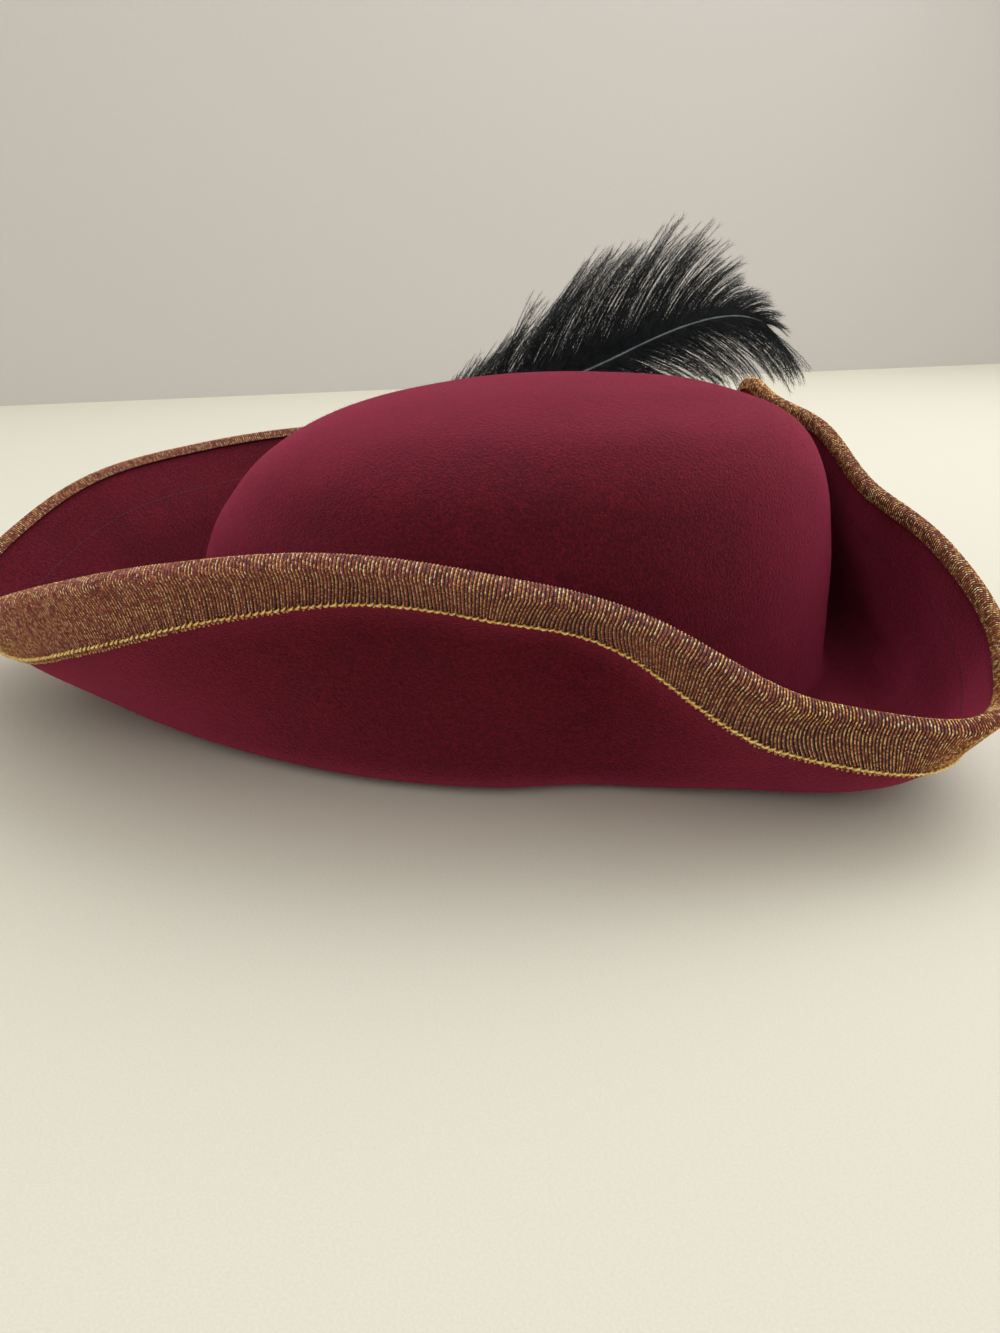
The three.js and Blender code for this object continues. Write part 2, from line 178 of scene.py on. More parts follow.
def mesh_object(name, points, faces=(), edges=(), **attributes):
    """An object from points in millimetres about the crown's middle. Attributes are a number or a
    vector for each point."""
    points = np.asarray(points, float).reshape(-1, 3)
    mesh = bpy.data.meshes.new(name)
    mesh.from_pydata(((points + CROWN_MIDDLE) * MM).tolist(), list(edges), list(faces))
    for key, values in attributes.items():
        values = np.asarray(values, np.float32)
        if values.ndim > 1:
            layer = mesh.attributes.new(key, "FLOAT_VECTOR", "POINT")
            layer.data.foreach_set("vector", values.ravel())
        else:
            layer = mesh.attributes.new(key, "FLOAT", "POINT")
            layer.data.foreach_set("value", values)
    mesh.update()
    return add_object(name, mesh)


def small_shape(name, points, faces):
    """A shape about its own origin, in millimetres, that a tree repeats."""
    mesh = bpy.data.meshes.new(name)
    mesh.from_pydata((np.asarray(points, float) * MM).tolist(), [], list(faces))
    mesh.update()
    return add_object(name, mesh)


def tube(path, radii, sides, first=(0, 0, 1)):
    """Points and faces of a round tube along a path, closed at both ends."""
    path = np.asarray(path, float)
    n = len(path)
    radii = np.broadcast_to(np.asarray(radii, float), (n,))
    ahead = np.roll(path, -1, 0) - np.roll(path, 1, 0)
    ahead[0] = path[1] - path[0]
    ahead[-1] = path[-1] - path[-2]
    ahead = unit(ahead)
    across = unit(np.cross(ahead, np.asarray(first, float)))
    upward = np.cross(across, ahead)
    turns = 2 * math.pi * np.arange(sides) / sides
    points = (
        path[:, None]
        + radii[:, None, None] * np.cos(turns)[None, :, None] * across[:, None]
        + radii[:, None, None] * np.sin(turns)[None, :, None] * upward[:, None]
    ).reshape(-1, 3)
    faces = []
    for i in range(n - 1):
        near, far = i * sides, (i + 1) * sides
        for k in range(sides):
            m = (k + 1) % sides
            faces.append((near + k, near + m, far + m, far + k))
    faces.append(tuple(reversed(range(sides))))
    faces.append(tuple(range((n - 1) * sides, n * sides)))
    return points, faces


def grid_faces(rows, columns, looped_rows=False):
    """Quads over rows of points that each close round."""
    r = np.arange(rows if looped_rows else rows - 1)[:, None]
    c = np.arange(columns)[None, :]
    r2, c2 = (r + 1) % rows, (c + 1) % columns
    quads = [r * columns + c, r * columns + c2, r2 * columns + c2, r2 * columns + c]
    return np.stack(quads, -1).reshape(-1, 4).tolist()


def colour(hex_value):
    """A linear colour from an sRGB hex value."""
    parts = [int(hex_value[i : i + 2], 16) / 255 for i in (1, 3, 5)]
    linear = [p / 12.92 if p <= 0.04045 else ((p + 0.055) / 1.055) ** 2.4 for p in parts]
    return (*linear, 1.0)


def add_node(tree, kind, values=None, links=None, **settings):
    """Adds a node with its own settings, the values of its inputs and the sockets that feed it."""
    node = tree.nodes.new(kind)
    for key, value in settings.items():
        setattr(node, key, value)
    for key, value in (values or {}).items():
        node.inputs[key].default_value = value
    for key, source in (links or {}).items():
        tree.links.new(source, node.inputs[key])
    return node


def ramp(node, stops):
    """Sets a colour ramp's stops: place and hex colour."""
    band = node.color_ramp
    while len(band.elements) > 1:
        band.elements.remove(band.elements[-1])
    for i, (place, hex_value) in enumerate(stops):
        stop = band.elements[0] if i == 0 else band.elements.new(place)
        stop.position = place
        stop.color = colour(hex_value)


def new_tree(name, inputs):
    """A Geometry Nodes tree with named inputs, its input node and its output node."""
    tree = bpy.data.node_groups.new(name, "GeometryNodeTree")
    tree.interface.new_socket("Geometry", in_out="INPUT", socket_type="NodeSocketGeometry")
    for label, kind in inputs:
        tree.interface.new_socket(label, in_out="INPUT", socket_type=f"NodeSocket{kind}")
    tree.interface.new_socket("Geometry", in_out="OUTPUT", socket_type="NodeSocketGeometry")
    return tree, add_node(tree, "NodeGroupInput"), add_node(tree, "NodeGroupOutput")


def shaken(tree, rotation, seed, **limits):
    """A rotation turned at random about its own axes. A limit is a socket, for as much either way,
    or a pair of angles."""
    low = add_node(tree, "ShaderNodeCombineXYZ")
    high = add_node(tree, "ShaderNodeCombineXYZ")
    for axis, limit in limits.items():
        if isinstance(limit, bpy.types.NodeSocket):
            back = add_node(tree, "ShaderNodeMath", {1: -1.0}, {0: limit}, operation="MULTIPLY")
            tree.links.new(back.outputs[0], low.inputs[axis])
            tree.links.new(limit, high.inputs[axis])
        else:
            low.inputs[axis].default_value, high.inputs[axis].default_value = limit
    turn = add_node(tree, "FunctionNodeRandomValue", {"Seed": seed},
                    {0: low.outputs[0], 1: high.outputs[0]}, data_type="FLOAT_VECTOR")
    tilt = add_node(tree, "FunctionNodeEulerToRotation", links={0: turn.outputs[0]})
    turned = add_node(tree, "FunctionNodeRotateRotation",
                      links={"Rotation": rotation, "Rotate By": tilt.outputs[0]}, rotation_space="LOCAL")
    return turned.outputs[0]


def end_tree(tree, given, made, geometry):
    """Ends a tree: real faces, painted with its Finish."""
    real = add_node(tree, "GeometryNodeRealizeInstances", links={"Geometry": geometry})
    painted = add_node(tree, "GeometryNodeSetMaterial",
                       links={"Geometry": real.outputs[0], "Material": given.outputs["Finish"]})
    tree.links.new(painted.outputs[0], made.inputs["Geometry"])
    return tree


def named(tree, attribute, data_type="FLOAT"):
    """The value of an attribute that the host's points carry."""
    node = add_node(tree, "GeometryNodeInputNamedAttribute", {"Name": attribute}, data_type=data_type)
    return node.outputs["Attribute"]


def apply_tree(host, tree, name, keep_host=False, **sizes):
    """The plain mesh that a tree makes on a host, as an object of its own."""
    modifier = host.modifiers.new(tree.name, "NODES")
    modifier.node_group = tree
    wanted = {key.replace("_", " "): value for key, value in sizes.items()}
    for item in tree.interface.items_tree:
        if item.item_type == "SOCKET" and item.in_out == "INPUT" and item.name in wanted:
            modifier[item.identifier] = wanted.pop(item.name)
    if wanted:
        raise KeyError(f"{tree.name} has no input {sorted(wanted)}")
    depsgraph = bpy.context.evaluated_depsgraph_get()
    mesh = bpy.data.meshes.new_from_object(
        host.evaluated_get(depsgraph), preserve_all_data_layers=True, depsgraph=depsgraph
    )
    host.modifiers.remove(modifier)
    mesh.name = name
    made = add_object(name, mesh)
    if not keep_host:
        bpy.data.objects.remove(host)
    return made


def finish_piece(piece, slot, *nodes, material=None, smooth_shaded=True):
    """Puts a finished piece on the hat's one body, hiding the nodes that it replaces. slot is not used."""
    if material is not None:
        piece.data.materials.clear()
        piece.data.materials.append(material)
    piece.data.shade_smooth() if smooth_shaded else piece.data.shade_flat()
    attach(piece, "root")
    if nodes:
        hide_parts(*nodes)
    return piece


# The felt's form.
def brim_section(angle):
    """The brim's lengths and slopes at an angle."""
    width, lift, floor, fold, wall, lip = smooth(BRIM_SECTIONS, angle, 360)
    width = width * BRIM_WIDTH
    standing = width - BREAK_ARC - CURL_WIDTH - LIP_WIDTH
    floor = standing * np.maximum(floor, 0.02)
    fold = standing * fold
    return width, BACK_LIFT * np.maximum(lift, 0), floor, fold, standing - floor - fold, wall, lip


def crown_middle(angle, ring):
    """Points on the middle of the crown's felt. ring runs from 0 at the break to CROWN_TOP."""
    s, c = np.sin(np.radians(angle)), np.cos(np.radians(angle))
    radius = 1 / np.hypot(s / HALF_WIDTH, c / HALF_LENGTH)
    rise, front, back, side = smooth(CROWN_RINGS, ring)
    lift = brim_section(angle)[1] * (1 - rise)
    y = HALF_LENGTH * (back - front) / 2 - radius * c * (back + front) / 2
    z = FELT / 2 + BREAK_RADIUS + lift + CROWN_HEIGHT * rise
    return np.stack(np.broadcast_arrays(radius * s * side, y, z), -1)


def brim_middle(angle, along):
    """Points on the middle of the brim's felt, at distances along the felt from the crown wall."""
    _, _, floor, fold, straight, wall, lip = brim_section(angle)
    reach, rise = np.zeros_like(along), np.zeros_like(along)
    left = along.copy()
    arcs = [
        (BREAK_ARC, -90, 0),
        (floor, 0, 0),
        (fold, 0, wall),
        (straight, wall, wall),
        (CURL_WIDTH, wall, lip),
        (1e9, lip, lip),
    ]
    for length, start, end in arcs:
        used = np.clip(left, 0, length)
        a = np.radians(start + np.zeros_like(used))
        turn = np.radians((end - start) * used / length)
        flat = np.abs(turn) < 1e-6
        radius = used / np.where(flat, 1, turn)
        reach += np.where(flat, used * np.cos(a), radius * (np.sin(a + turn) - np.sin(a)))
        rise += np.where(flat, used * np.sin(a), radius * (np.cos(a) - np.cos(a + turn)))
        left = left - used
    out = np.stack([np.sin(np.radians(angle)), -np.cos(np.radians(angle)), 0 * angle], -1)
    points = crown_middle(angle, 0 * angle) + reach[..., None] * out
    points[..., 2] += rise
    return points


def felt_middle(angle, place):
    """The felt's middle as one sheet: minus the crown's ring, or the distance along the brim."""
    crown = crown_middle(angle, np.clip(-place, 0, CROWN_TOP))
    brim = brim_middle(angle, np.maximum(place, 0))
    return np.where((place < 0)[..., None], crown, brim)


def felt_point(angle, place, offset=0.0):
    """Points off the felt's middle: a positive offset is outside the crown and inside the brim."""
    angle, place, offset = np.broadcast_arrays(*(np.asarray(v, float) for v in (angle, place, offset)))
    middle = felt_middle(angle, place)
    return middle + offset[..., None] * felt_normal(angle, place)


def felt_normal(angle, place):
    step = np.where(place < 0, 0.01, 0.05)
    round_hat = felt_middle(angle + 0.5, place) - felt_middle(angle - 0.5, place)
    down = felt_middle(angle, place + step) - felt_middle(angle, place - step)
    return unit(np.cross(down, round_hat))


def width_at(angle):
    return brim_section(angle)[0]


def rim_path():
    """Angles at even steps along the brim's edge, and the edge's length."""
    angle = np.linspace(0, 360, 4001)
    edge = felt_point(angle, width_at(angle))
    length = np.concatenate([[0], np.cumsum(np.linalg.norm(np.diff(edge, axis=0), axis=1))])
    return angle, length


RIM_ANGLE, RIM_LENGTH = rim_path()
RIM = RIM_LENGTH[-1]


def rim_angle(distance):
    return np.interp(np.mod(distance, RIM), RIM_LENGTH, RIM_ANGLE)


def beside_edge(distance, back, offset):
    """Points near the brim's edge: along it, back from it, and off the felt's middle. Lines of one
    distance run square to the edge, as the ribs of a braid do."""
    distance, back, offset = np.broadcast_arrays(
        *(np.asarray(v, float) for v in (distance, back, offset))
    )
    angle = rim_angle(distance)
    width = width_at(angle)
    along = unit(felt_point(rim_angle(distance + 0.5), width_at(rim_angle(distance + 0.5)))
                 - felt_point(rim_angle(distance - 0.5), width_at(rim_angle(distance - 0.5))))
    down = unit(felt_point(angle, width - 4) - felt_point(angle, width))
    slant = (along * down).sum(-1)
    turned = rim_angle(distance - np.maximum(back, 0) * slant)
    return felt_point(turned, width_at(turned) - back, offset)


def edge_frame(distance, back, offset):
    """Points beside the edge with their direction along the edge and out of the outer face."""
    points = beside_edge(distance, back, offset)
    along = unit(beside_edge(distance + 0.4, back, offset) - beside_edge(distance - 0.4, back, offset))
    outward = -felt_normal(rim_angle(distance), width_at(rim_angle(distance)) - back)
    return points, along, outward


def crown_side(y, z):
    """The crown wall's outer face beside the plume: its x at points of y and z."""
    low, high = np.zeros_like(z), np.full_like(z, CROWN_TOP)
    for _ in range(30):
        ring = (low + high) / 2
        below = crown_middle(270 + 0 * z, ring)[..., 2] < z
        low, high = np.where(below, ring, low), np.where(below, high, ring)
    _, front, back, side = smooth(CROWN_RINGS, low)
    shift, half = HALF_LENGTH * (back - front) / 2, HALF_LENGTH * (back + front) / 2
    return -(HALF_WIDTH * side * np.sqrt(1 - ((y - shift) / half) ** 2) + FELT / 2)


# Materials.
def new_material(name):
    material = bpy.data.materials.new(name)
    material.use_nodes = True
    return material, material.node_tree, material.node_tree.nodes["Principled BSDF"]


def add_bump(tree, shader, strength, depth, height):
    """Relief on a shader, its depth in millimetres."""
    bump = add_node(tree, "ShaderNodeBump", {"Strength": strength, "Distance": depth * MM},
                    {"Height": height})
    tree.links.new(bump.outputs["Normal"], shader.inputs["Normal"])


def noise_texture(tree, place, size, detail, **values):
    """Cloudy noise whose Scale is one over its size in metres."""
    return add_node(tree, "ShaderNodeTexNoise", {"Scale": 1 / (size * MM), "Detail": detail, **values},
                    {"Vector": place}).outputs["Fac"]


def felt_material(name, deep, body, lit):
    """Wool felt, fulled and blocked: a matt dyed cloth with a short nap, whose loose fibres catch
    light at a grazing angle. The fibre tufts are about 0.5 mm and the cloudy shade about 9 mm,
    half of each noise's size."""
    material, tree, shader = new_material(name)
    place = add_node(tree, "ShaderNodeTexCoord").outputs["Object"]
    tufts = noise_texture(tree, place, 1, 3.0, Roughness=0.7)
    clouds = noise_texture(tree, place, 18, 3.0, Roughness=0.6)
    fibres = noise_texture(tree, place, 0.5, 2.0, Distortion=1.5)
    both = add_node(tree, "ShaderNodeMix", {"Factor": 0.22}, {"A": tufts, "B": clouds}, data_type="FLOAT")
    shade = add_node(tree, "ShaderNodeValToRGB", links={"Fac": both.outputs["Result"]})
    ramp(shade, [(0.37, deep), (0.5, body), (0.63, lit)])
    tree.links.new(shade.outputs["Color"], shader.inputs["Base Color"])
    nap = add_node(tree, "ShaderNodeMath", links={0: tufts, 1: fibres}, operation="ADD")
    add_bump(tree, shader, 0.8, 0.4, nap.outputs["Value"])
    shader.inputs["Roughness"].default_value = 0.92
    shader.inputs["Specular IOR Level"].default_value = 0.2
    shader.inputs["Sheen Weight"].default_value = 1.0
    shader.inputs["Sheen Roughness"].default_value = 0.45
    shader.inputs["Sheen Tint"].default_value = colour("#d4496b")
    return material


def yarn_material(name, loop_length, painted_dip_shade, tints, film):
    """Yarn of the weft-knit braid, drawn loop by loop along each rib: the middle of a loop stands
    up and keeps its full tint as a painted highlight, the dip between two loops gets painted shade
    over its relief, and no two loops have the same tint. film is the share of metallised film in the
    brightest loops."""
    material, tree, shader = new_material(name)
    across = add_node(tree, "ShaderNodeAttribute", attribute_name="across").outputs["Fac"]
    rib = add_node(tree, "ShaderNodeAttribute", attribute_name="rib").outputs["Fac"]
    stagger = add_node(tree, "ShaderNodeMath", {1: 0.37}, {0: rib}, operation="MULTIPLY")
    loops = add_node(tree, "ShaderNodeMath", {1: 1 / loop_length}, {0: across}, operation="MULTIPLY")
    loop = add_node(tree, "ShaderNodeMath", links={0: loops.outputs[0], 1: stagger.outputs[0]},
                    operation="ADD")
    cell = add_node(tree, "ShaderNodeMath", links={0: loop.outputs[0]}, operation="FLOOR")
    rib_cell = add_node(tree, "ShaderNodeMath", {1: 0.5}, {0: rib}, operation="ADD")
    rib_floor = add_node(tree, "ShaderNodeMath", links={0: rib_cell.outputs[0]}, operation="FLOOR")
    pair = add_node(tree, "ShaderNodeCombineXYZ", links={"X": cell.outputs[0], "Y": rib_floor.outputs[0]})
    chance = add_node(tree, "ShaderNodeTexWhiteNoise", links={"Vector": pair.outputs[0]},
                      noise_dimensions="2D")
    thread = add_node(tree, "ShaderNodeValToRGB", links={"Fac": chance.outputs["Value"]})
    ramp(thread, tints)
    within = add_node(tree, "ShaderNodeMath", links={0: loop.outputs[0]}, operation="FRACT")
    swell = add_node(tree, "ShaderNodeMath", {1: math.pi}, {0: within.outputs[0]}, operation="MULTIPLY")
    bead = add_node(tree, "ShaderNodeMath", links={0: swell.outputs[0]}, operation="SINE")
    # Painted light: a loop's middle keeps its full tint, fading to the painted shade colour in the dips.
    lit = add_node(tree, "ShaderNodeMapRange", {"From Min": 0.0, "From Max": 0.7, "To Min": 0.3},
                   {"Value": bead.outputs[0]})
    shade = add_node(tree, "ShaderNodeMix", {"A": colour(painted_dip_shade)},
                     {"Factor": lit.outputs[0], "B": thread.outputs["Color"]}, data_type="RGBA")
    tree.links.new(shade.outputs["Result"], shader.inputs["Base Color"])
    metal = add_node(tree, "ShaderNodeMapRange",
                     {"From Min": 0.2, "From Max": 0.7, "To Min": 0.0, "To Max": film},
                     {"Value": chance.outputs["Value"]})
    tree.links.new(metal.outputs[0], shader.inputs["Metallic"])
    gloss = add_node(tree, "ShaderNodeMapRange", {"To Min": 0.65, "To Max": 0.65 - 0.35 * film},
                     {"Value": chance.outputs["Value"]})
    tree.links.new(gloss.outputs[0], shader.inputs["Roughness"])
    add_bump(tree, shader, 0.8, 0.2, bead.outputs[0])
    return material


def thread_material(name, dark, light, metallic, roughness):
    """Twisted thread or cord, loose fibres, or matt paint: two tints in clouds of 0.5 mm, which
    stand for a thread's twist and a paint's grain."""
    material, tree, shader = new_material(name)
    place = add_node(tree, "ShaderNodeTexCoord").outputs["Object"]
    twist = noise_texture(tree, place, 0.5, 2.0)
    shade = add_node(tree, "ShaderNodeValToRGB", links={"Fac": twist})
    ramp(shade, [(0.35, dark), (0.65, light)])
    tree.links.new(shade.outputs["Color"], shader.inputs["Base Color"])
    add_bump(tree, shader, 0.5, 0.1, twist)
    shader.inputs["Metallic"].default_value = metallic
    shader.inputs["Roughness"].default_value = roughness
    return material


def feather_material(name, dark, light, roughness, sheen):
    """Dyed ostrich feather: keratin strands, near black, with a soft cool gloss along them. The dye
    is streaked over about 4 mm."""
    material, tree, shader = new_material(name)
    place = add_node(tree, "ShaderNodeTexCoord").outputs["Object"]
    streaks = noise_texture(tree, place, 4, 3.0)
    shade = add_node(tree, "ShaderNodeValToRGB", links={"Fac": streaks})
    ramp(shade, [(0.3, dark), (0.7, light)])
    tree.links.new(shade.outputs["Color"], shader.inputs["Base Color"])
    add_bump(tree, shader, 0.2, 0.1, streaks)
    shader.inputs["Roughness"].default_value = roughness
    shader.inputs["Sheen Weight"].default_value = sheen
    shader.inputs["Sheen Roughness"].default_value = 0.4
    shader.inputs["Sheen Tint"].default_value = colour("#8fa3ab")
    return material


# The stuffs of the hat, with their sRGB colours.
FELT_DYED = felt_material("wool_felt_burgundy", "#3a020a", "#4e0511", "#650a1c")
FELT_FIBRE = thread_material("wool_fibre_burgundy", "#620f20", "#84213a", 0.0, 0.9)
# The near-black second colour of each braid yarn is painted shade in the dips between loops.
BRAID_BODY = yarn_material("rayon_braid_mauve", 0.5, "#16040a",
                           [(0.0, "#642429"), (0.6, "#944846"), (1.0, "#bd7064")], 0.0)
# Gold and copper tints of the metallised yarn. The near-white top stops are painted glints in place of the
# film's gloss.
BRAID_GOLD_AND_GLINTS = yarn_material("metallised_braid_gold_painted_glints", 0.9, "#240c0c",
                           [(0.0, "#742c26"), (0.4, "#b86a38"), (0.7, "#f6ba5c"), (1.0, "#fff0b0")], 0.45)
# The dark plum knit under the ribs, painted near black as the shade in the gaps between ribs.
BRAID_GROUND_SHADE = thread_material("rayon_ground_painted_shade", "#0a0205", "#1c080e", 0.0, 0.7)
# Gold cord: a gold colour, raised near to white as a painted highlight for its mostly matt metal.
GOLD_CORD_WITH_HIGHLIGHT = thread_material("metallised_cord_gold_painted_highlight", "#e09c38", "#fff09a", 0.2, 0.35)
GOLD_LOOP = thread_material("metallised_picot_gold", "#a8643a", "#ffd98a", 0.2, 0.4)
SEWING = thread_material("polyester_thread_burgundy", "#2a060e", "#4a0e1c", 0.0, 0.6)
QUILL = feather_material("ostrich_quill_dyed", "#4a5355", "#7c8788", 0.4, 0.1)
BARB = feather_material("ostrich_barb_black", "#0d0f10", "#212527", 0.5, 0.35)


# Felt body.
def unevenness(points, strength):
    """Small soft dents of hand-blocked felt, about 35 mm across, in millimetres."""
    return np.array(
        [noise.noise(Vector(p) / 35.0) for p in points.reshape(-1, 3)]
    ).reshape(points.shape[:-1]) * strength


def felt_body():
    turn = 2 * math.pi * np.arange(STATIONS) / STATIONS
    angle = np.degrees(turn - 0.08 * np.sin(3 * turn))
    width, _, floor, fold, straight, _, _ = brim_section(angle)
    crown = [np.full(STATIONS, -ring) for ring in np.linspace(CROWN_TOP - 0.12, 0.2, 50)]
    stops = [0 * width, BREAK_ARC + 0 * width, BREAK_ARC + floor, BREAK_ARC + floor + fold,
             width - LIP_WIDTH - CURL_WIDTH, width - LIP_WIDTH, width]
    steps = [5, 3, 8, 5, 5, 8]
    brim = [
        stops[i] + (stops[i + 1] - stops[i]) * k / n
        for i, n in enumerate(steps)
        for k in range(n)
    ] + [width]
    places = np.array(crown + brim)
    angles = np.broadcast_to(angle, places.shape)
    middle, normal = felt_middle(angles, places), felt_normal(angles, places)
    near_edge = np.clip((width - np.maximum(places, 0) - LIP_WIDTH) / 25, 0, 1)
    dent = unevenness(middle, 0.5) * near_edge
    inner = middle + (dent - FELT / 2)[..., None] * normal
    outer = middle + (dent + FELT / 2)[..., None] * normal
    top = felt_middle(np.array([0.0]), np.array([-float(CROWN_TOP)]))[0]
    rings = np.concatenate([inner, outer[::-1]])
    count = rings.shape[0] * STATIONS
    points = np.vstack([rings.reshape(-1, 3), top - [0, 0, FELT / 2], top + [0, 0, FELT / 2]])
    faces = grid_faces(rings.shape[0], STATIONS)
    last = (rings.shape[0] - 1) * STATIONS
    for k in range(STATIONS):
        m = (k + 1) % STATIONS
        faces.append((count, m, k))
        faces.append((count + 1, last + k, last + m))
    bare = (places < width - BINDING_OUTSIDE - 1).astype(float)
    bare = np.concatenate([bare.ravel(), bare[::-1].ravel(), [1, 1]])
    bare *= points[:, 2] > 2.5  # the nap is pressed flat where the hat stands
    return mesh_object("felt_hat", points, faces, bare=bare)


def spike(name, length, half_width):
    """A fibre: a long thin pyramid along +Z."""
    corner = [(half_width * math.cos(a), half_width * math.sin(a), 0) for a in (0, 2.094, 4.189)]
    return small_shape(name, corner + [(0, 0, length)], [(2, 1, 0), (0, 1, 3), (1, 2, 3), (2, 0, 3)])


def nap_tree():
    """Fibres scattered over a surface, leaning at random."""
    tree, given, made = new_tree(
        "loose_nap", [("Fibre", "Object"), ("Density", "Float"), ("Lean", "Float"), ("Finish", "Material")]
    )
    density = add_node(tree, "ShaderNodeMath", links={0: given.outputs["Density"], 1: named(tree, "bare")},
                       operation="MULTIPLY")
    spread = add_node(tree, "GeometryNodeDistributePointsOnFaces", {"Seed": 11},
                      {"Mesh": given.outputs["Geometry"], "Density": density.outputs[0]},
                      distribute_method="RANDOM")
    lean = given.outputs["Lean"]
    turned = shaken(tree, spread.outputs["Rotation"], 3, X=lean, Y=lean, Z=(0.0, 6.28))
    size = add_node(tree, "FunctionNodeRandomValue", {2: 0.4, 3: 1.3, "Seed": 5}, data_type="FLOAT")
    fibre = add_node(tree, "GeometryNodeObjectInfo", links={"Object": given.outputs["Fibre"]})
    stand = add_node(tree, "GeometryNodeInstanceOnPoints", links={
        "Points": spread.outputs["Points"], "Instance": fibre.outputs["Geometry"],
        "Rotation": turned, "Scale": size.outputs[1]})
    return end_tree(tree, given, made, stand.outputs[0])


NAP_LENGTH = 1.3
NAP_RADIUS = 0.035
NAP_PER_SQUARE_METRE = 90000.0
NAP_LEAN = 1.15

felt = felt_body()
fibre = spike("fibre", NAP_LENGTH, NAP_RADIUS)
nap = apply_tree(felt, nap_tree(), "felt_nap", keep_host=True, Fibre=fibre, Density=NAP_PER_SQUARE_METRE,
                 Lean=NAP_LEAN, Finish=FELT_FIBRE)
bpy.data.objects.remove(fibre)
finish_piece(felt, "felt", "felt_body", material=FELT_DYED)
finish_piece(nap, "felt", smooth_shaded=False)

# Binding.
RIB_PITCH = 0.85
RIB_RADIUS = 0.3
GOLD_RADIUS = 0.17
RIBS = round(RIM / RIB_PITCH)

# Angle round the hat, and how far along the edge a rib's lower end stands from its top, in mm.
RIB_LEAN = [
    (0, -5), (27, -11), (41, -10), (52, -9), (62, -6.5), (72, -2), (86, 4.5), (92, 6), (98, 9),
    (105, 9), (111, 8), (118, 5), (130, 1), (200, 1), (300, 1),
]


def binding_ground():
    """The knit under the ribs: a U section carried right round the edge."""
    inner = FELT / 2 + GAP
    outer = inner + BINDING - 0.3
    section = (
        [(BINDING_OUTSIDE * (1 - k / 8), -outer) for k in range(9)]
        + [(-GAP - (BINDING - 0.3) * 0.7, -outer * 0.7), (-GAP - BINDING + 0.3, 0),
           (-GAP - (BINDING - 0.3) * 0.7, outer * 0.7), (0, outer), (BINDING_INSIDE / 2, outer),
           (BINDING_INSIDE, outer), (BINDING_INSIDE, inner), (0, inner), (-GAP, inner), (-GAP, -inner)]
        + [(BINDING_OUTSIDE * k / 4, -inner) for k in range(5)]
    )
    distance = RIM * np.arange(900) / 900
    rings = np.array([beside_edge(distance, back, offset) for back, offset in section])
    faces = grid_faces(len(section), 900, looped_rows=True)
    return mesh_object("binding_ground", rings, faces)


def rib_lines(name, lift, beside, bare_end):
    """Each rib's line over the binding's outer face, round the edge and down inside, lifted off the
    knit and set beside the rib's own middle. The braid is pulled askew as it is sewn, so the ribs
    lean along the edge, most at the lower selvedge. bare_end is how much the yarn thins out there."""
    face = FELT / 2 + GAP + BINDING - 0.3 + lift
    section = (
        [(BINDING_OUTSIDE * (1 - k / 8), -face) for k in range(9)]
        + [(-GAP - 0.35 - lift * 0.7, -face * 0.75), (-GAP - 0.6 - lift, 0),
           (-GAP - 0.35 - lift * 0.7, face * 0.75), (0.2, face), (BINDING_INSIDE, face)]
    )
    distance = RIM * np.arange(RIBS) / RIBS
    rng = np.random.default_rng(17)
    lean = smooth(RIB_LEAN, rim_angle(distance), 360)[0]
    lean = lean + 0.4 * np.sin(distance / 23) + 0.3 * np.sin(distance / 7.3) + rng.normal(0, 0.1, RIBS)
    lines = np.array([
        beside_edge(distance + beside + lean * (max(back, 0) / BINDING_OUTSIDE) ** 1.3, back, offset)
        for back, offset in section
    ])
    lines = np.moveaxis(lines, 0, 1)
    n = len(section)
    steps = np.linalg.norm(np.diff(lines, axis=1), axis=2)
    across = np.concatenate([np.zeros((RIBS, 1)), np.cumsum(steps, axis=1)], axis=1)
    edges = [(i * n + k, i * n + k + 1) for i in range(RIBS) for k in range(n - 1)]
    number = np.repeat(np.arange(RIBS), n)
    low = np.array([max(back / BINDING_OUTSIDE - 0.55, 0) / 0.45 for back, _ in section])
    thickness = rng.uniform(0.86, 1.12, (RIBS, 1)) * (1 - bare_end * low)
    return mesh_object(name, lines, edges=edges, across=across.ravel(), rib=number,
                       thickness=thickness.ravel())


def rib_tree():
    """Round yarn along each line, as thick as the line says."""
    tree, given, made = new_tree(
        "braid_ribs", [("Yarn radius", "Float"), ("Sides", "Int"), ("Finish", "Material")]
    )
    lines = add_node(tree, "GeometryNodeMeshToCurve", links={"Mesh": given.outputs["Geometry"]})
    yarn = add_node(tree, "GeometryNodeCurvePrimitiveCircle", links={
        "Radius": given.outputs["Yarn radius"], "Resolution": given.outputs["Sides"]}, mode="RADIUS")
    swept = add_node(tree, "GeometryNodeCurveToMesh", {"Fill Caps": True}, {
        "Curve": lines.outputs[0], "Profile Curve": yarn.outputs["Curve"],
        "Scale": named(tree, "thickness")})
    return end_tree(tree, given, made, swept.outputs[0])


def edge_line(name, back, offset):
    """A closed line along the brim's edge, with its direction and the way out of the outer face."""
    count = 2400
    distance = RIM * np.arange(count) / count
    points, along, outward = edge_frame(distance, back, offset)
    edges = [(i, (i + 1) % count) for i in range(count)]
    return mesh_object(name, points, edges=edges, ahead=along, outward=outward)


